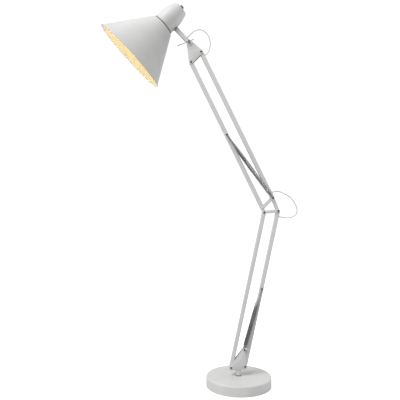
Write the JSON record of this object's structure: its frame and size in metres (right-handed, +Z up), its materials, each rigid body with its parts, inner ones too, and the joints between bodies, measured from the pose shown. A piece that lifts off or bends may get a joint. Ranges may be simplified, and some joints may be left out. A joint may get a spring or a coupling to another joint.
{
  "type": "adjustable arm floor lamp",
  "caption": "Floor lamp with a weighted round base, two spring-balanced parallelogram arms of square tube and a conical shade on a clamped stem.",
  "frame": {"origin": "centre of the base's underside, on the floor", "axes": "+Z up, +X from the base's axis towards the elbow's side, away from the shade; -Y is the front"},
  "size_m": [0.8845, 0.3628, 1.7317],
  "materials": {
    "paint": "light grey satin powder coat",
    "shade_paint": "spun aluminium, light grey satin powder coat outside, warm white inside",
    "steel": "plated steel",
    "spring_steel": "drawn spring wire",
    "black_plastic": "black, lightly textured",
    "iron": "rough casting",
    "pad": "matt",
    "flex": "smooth white flex",
    "porcelain": "glazed",
    "bulb_glass": "opal glass, lit warm"
  },
  "bodies": {
    "base": {"base_cover": "paint", "base_pad": "pad", "base_weight": "iron", "base_spigot": "steel", "spigot_nut": "steel", "cable_inlet": "black_plastic", "base_flex": "flex", "swivel_ring": "black_plastic"},
    "swivel": {"swivel_post": "paint", "post_set_screw": "black_plastic", "foot_plate_front": "paint", "foot_plate_rear": "paint", "foot_pin_left": "black_plastic", "foot_pin_right": "black_plastic", "foot_spring_stud_front": "black_plastic", "foot_spring_stud_rear": "black_plastic", "foot_loop": "flex"},
    "lower_left_arm": {"lower_tube_left": "paint"},
    "lower_right_arm": {"lower_tube_right": "paint", "lower_spring_anchor": "black_plastic", "lower_flex": "flex"},
    "elbow": {"elbow_frame_front": "paint", "elbow_frame_rear": "paint", "elbow_pin_left": "black_plastic", "elbow_pin_right": "black_plastic", "elbow_spring_pin": "black_plastic", "elbow_pin_side": "paint", "elbow_loop": "flex"},
    "upper_left_arm": {"upper_tube_left": "paint", "upper_spring_anchor": "black_plastic"},
    "upper_right_arm": {"upper_tube_right": "paint", "upper_flex": "flex"},
    "head_bracket": {"head_plate_front": "paint", "head_plate_rear": "paint", "head_pin_left": "black_plastic", "head_pin_right": "black_plastic", "head_loop": "flex"},
    "clamp": {"clamp_screw": "steel", "clamp_nut": "steel"},
    "clamp_tommy": {"clamp_bar": "steel"},
    "stem": {"head_stem": "paint", "stem_nut": "steel", "stem_flex": "flex"},
    "shade": {"shade_cone": "shade_paint", "shade_cap": "shade_paint", "shade_carrier": "black_plastic", "bulb": "bulb_glass", "lampholder": "porcelain", "lampholder_ring": "porcelain", "stem_collar": "black_plastic", "switch_body": "black_plastic"},
    "switch": {"switch_knob": "black_plastic"},
    "lower_spring_foot": {"lower_spring_front_lower": "spring_steel", "lower_spring_rear_lower": "spring_steel"},
    "lower_spring_tube": {"lower_spring_front_upper": "spring_steel", "lower_spring_rear_upper": "spring_steel"},
    "upper_spring_elbow": {"upper_spring_front_lower": "spring_steel", "upper_spring_rear_lower": "spring_steel"},
    "upper_spring_tube": {"upper_spring_front_upper": "spring_steel", "upper_spring_rear_upper": "spring_steel"}
  },
  "joints": [
    {"name": "foot_swivel", "type": "hinge", "parent": "base", "child": "swivel", "pos_m": [0, 0, 0.054], "axis": [0, 0, 1], "range_deg": [-170, 170]},
    {"name": "lower_arm", "type": "hinge", "parent": "swivel", "child": "lower_right_arm", "pos_m": [0.02835, 0, 0.08803], "axis": [0, 1, 0], "range_deg": [-28, 37], "deforming": ["lower_spring_front_lower", "lower_spring_front_upper", "lower_spring_rear_lower", "lower_spring_rear_upper", "foot_loop", "elbow_loop"]},
    {"name": "lower_arm_left", "type": "hinge", "parent": "swivel", "child": "lower_left_arm", "pos_m": [-0.0347, 0, 0.0824], "axis": [0, 1, 0], "range_deg": [-28, 37]},
    {"name": "elbow_level", "type": "hinge", "parent": "lower_right_arm", "child": "elbow", "pos_m": [0.17789, 0, 0.78977], "axis": [0, 1, 0], "range_deg": [-37, 28], "deforming": ["elbow_loop"]},
    {"name": "upper_arm", "type": "hinge", "parent": "elbow", "child": "upper_right_arm", "pos_m": [0.15289, 0, 0.84917], "axis": [0, 1, 0], "range_deg": [-55, 20], "deforming": ["upper_spring_front_lower", "upper_spring_front_upper", "upper_spring_rear_lower", "upper_spring_rear_upper", "elbow_loop", "head_loop"]},
    {"name": "upper_arm_left", "type": "hinge", "parent": "elbow", "child": "upper_left_arm", "pos_m": [0.10739, 0, 0.80317], "axis": [0, 1, 0], "range_deg": [-55, 20]},
    {"name": "head_level", "type": "hinge", "parent": "upper_right_arm", "child": "head_bracket", "pos_m": [-0.17002, 0, 1.50832], "axis": [0, 1, 0], "range_deg": [-20, 55], "deforming": ["head_loop"]},
    {"name": "head_tilt", "type": "hinge", "parent": "head_bracket", "child": "stem", "pos_m": [-0.22502, 0, 1.55242], "axis": [0, 1, 0], "range_deg": [-45, 60], "deforming": ["head_loop"]},
    {"name": "shade_swivel", "type": "hinge", "parent": "stem", "child": "shade", "pos_m": [-0.32053, 0, 1.65342], "axis": [0.6871, 0, -0.7266], "range_deg": [-90, 90]},
    {"name": "switch_turn", "type": "hinge", "parent": "shade", "child": "switch", "pos_m": [-0.26334, 0, 1.70749], "axis": [0.7266, 0, 0.6871], "range_deg": [0, 90]},
    {"name": "clamp_turn", "type": "hinge", "parent": "head_bracket", "child": "clamp", "pos_m": [-0.22502, 0, 1.55242], "axis": [0, 1, 0], "range_deg": [-90, 90]},
    {"name": "tommy_slide", "type": "slide", "parent": "clamp", "child": "clamp_tommy", "axis": [0.9298, 0, 0.3681], "range_m": [-0.013, 0.044]},
    {"name": "lower_spring_foot_pin", "type": "hinge", "parent": "swivel", "child": "lower_spring_foot", "pos_m": [0.0257, 0, 0.1657], "axis": [0, 1, 0], "range_deg": [-38, 48], "deforming": ["lower_spring_front_lower", "lower_spring_front_upper", "lower_spring_rear_lower", "lower_spring_rear_upper"]},
    {"name": "lower_spring_tube_pin", "type": "hinge", "parent": "lower_right_arm", "child": "lower_spring_tube", "pos_m": [0.10312, 0, 0.4389], "axis": [0, 1, 0], "range_deg": [-12, 12], "deforming": ["lower_spring_front_lower", "lower_spring_front_upper", "lower_spring_rear_lower", "lower_spring_rear_upper"]},
    {"name": "upper_spring_elbow_pin", "type": "hinge", "parent": "elbow", "child": "upper_spring_elbow", "pos_m": [0.15289, 0, 0.84917], "axis": [0, 1, 0], "range_deg": [-56, 22], "deforming": ["upper_spring_front_lower", "upper_spring_front_upper", "upper_spring_rear_lower", "upper_spring_rear_upper"]},
    {"name": "upper_spring_tube_pin", "type": "hinge", "parent": "upper_left_arm", "child": "upper_spring_tube", "pos_m": [-0.05407, 0, 1.13274], "axis": [0, 1, 0], "range_deg": [-5, 5], "deforming": ["upper_spring_front_lower", "upper_spring_front_upper", "upper_spring_rear_lower", "upper_spring_rear_upper"]}
  ],
  "couplings": [
    {"joint": "lower_arm_left", "follows": "lower_arm", "ratio": 1},
    {"joint": "elbow_level", "follows": "lower_arm", "ratio": -1},
    {"joint": "upper_arm_left", "follows": "upper_arm", "ratio": 1},
    {"joint": "head_level", "follows": "upper_arm", "ratio": -1},
    {"joint": "lower_spring_foot_pin", "follows": "lower_arm", "ratio": 1.2314},
    {"joint": "lower_spring_tube_pin", "follows": "lower_arm", "ratio": 0.2314},
    {"joint": "upper_spring_elbow_pin", "follows": "upper_arm", "ratio": 0.977},
    {"joint": "upper_spring_tube_pin", "follows": "upper_arm", "ratio": -0.023}
  ]
}
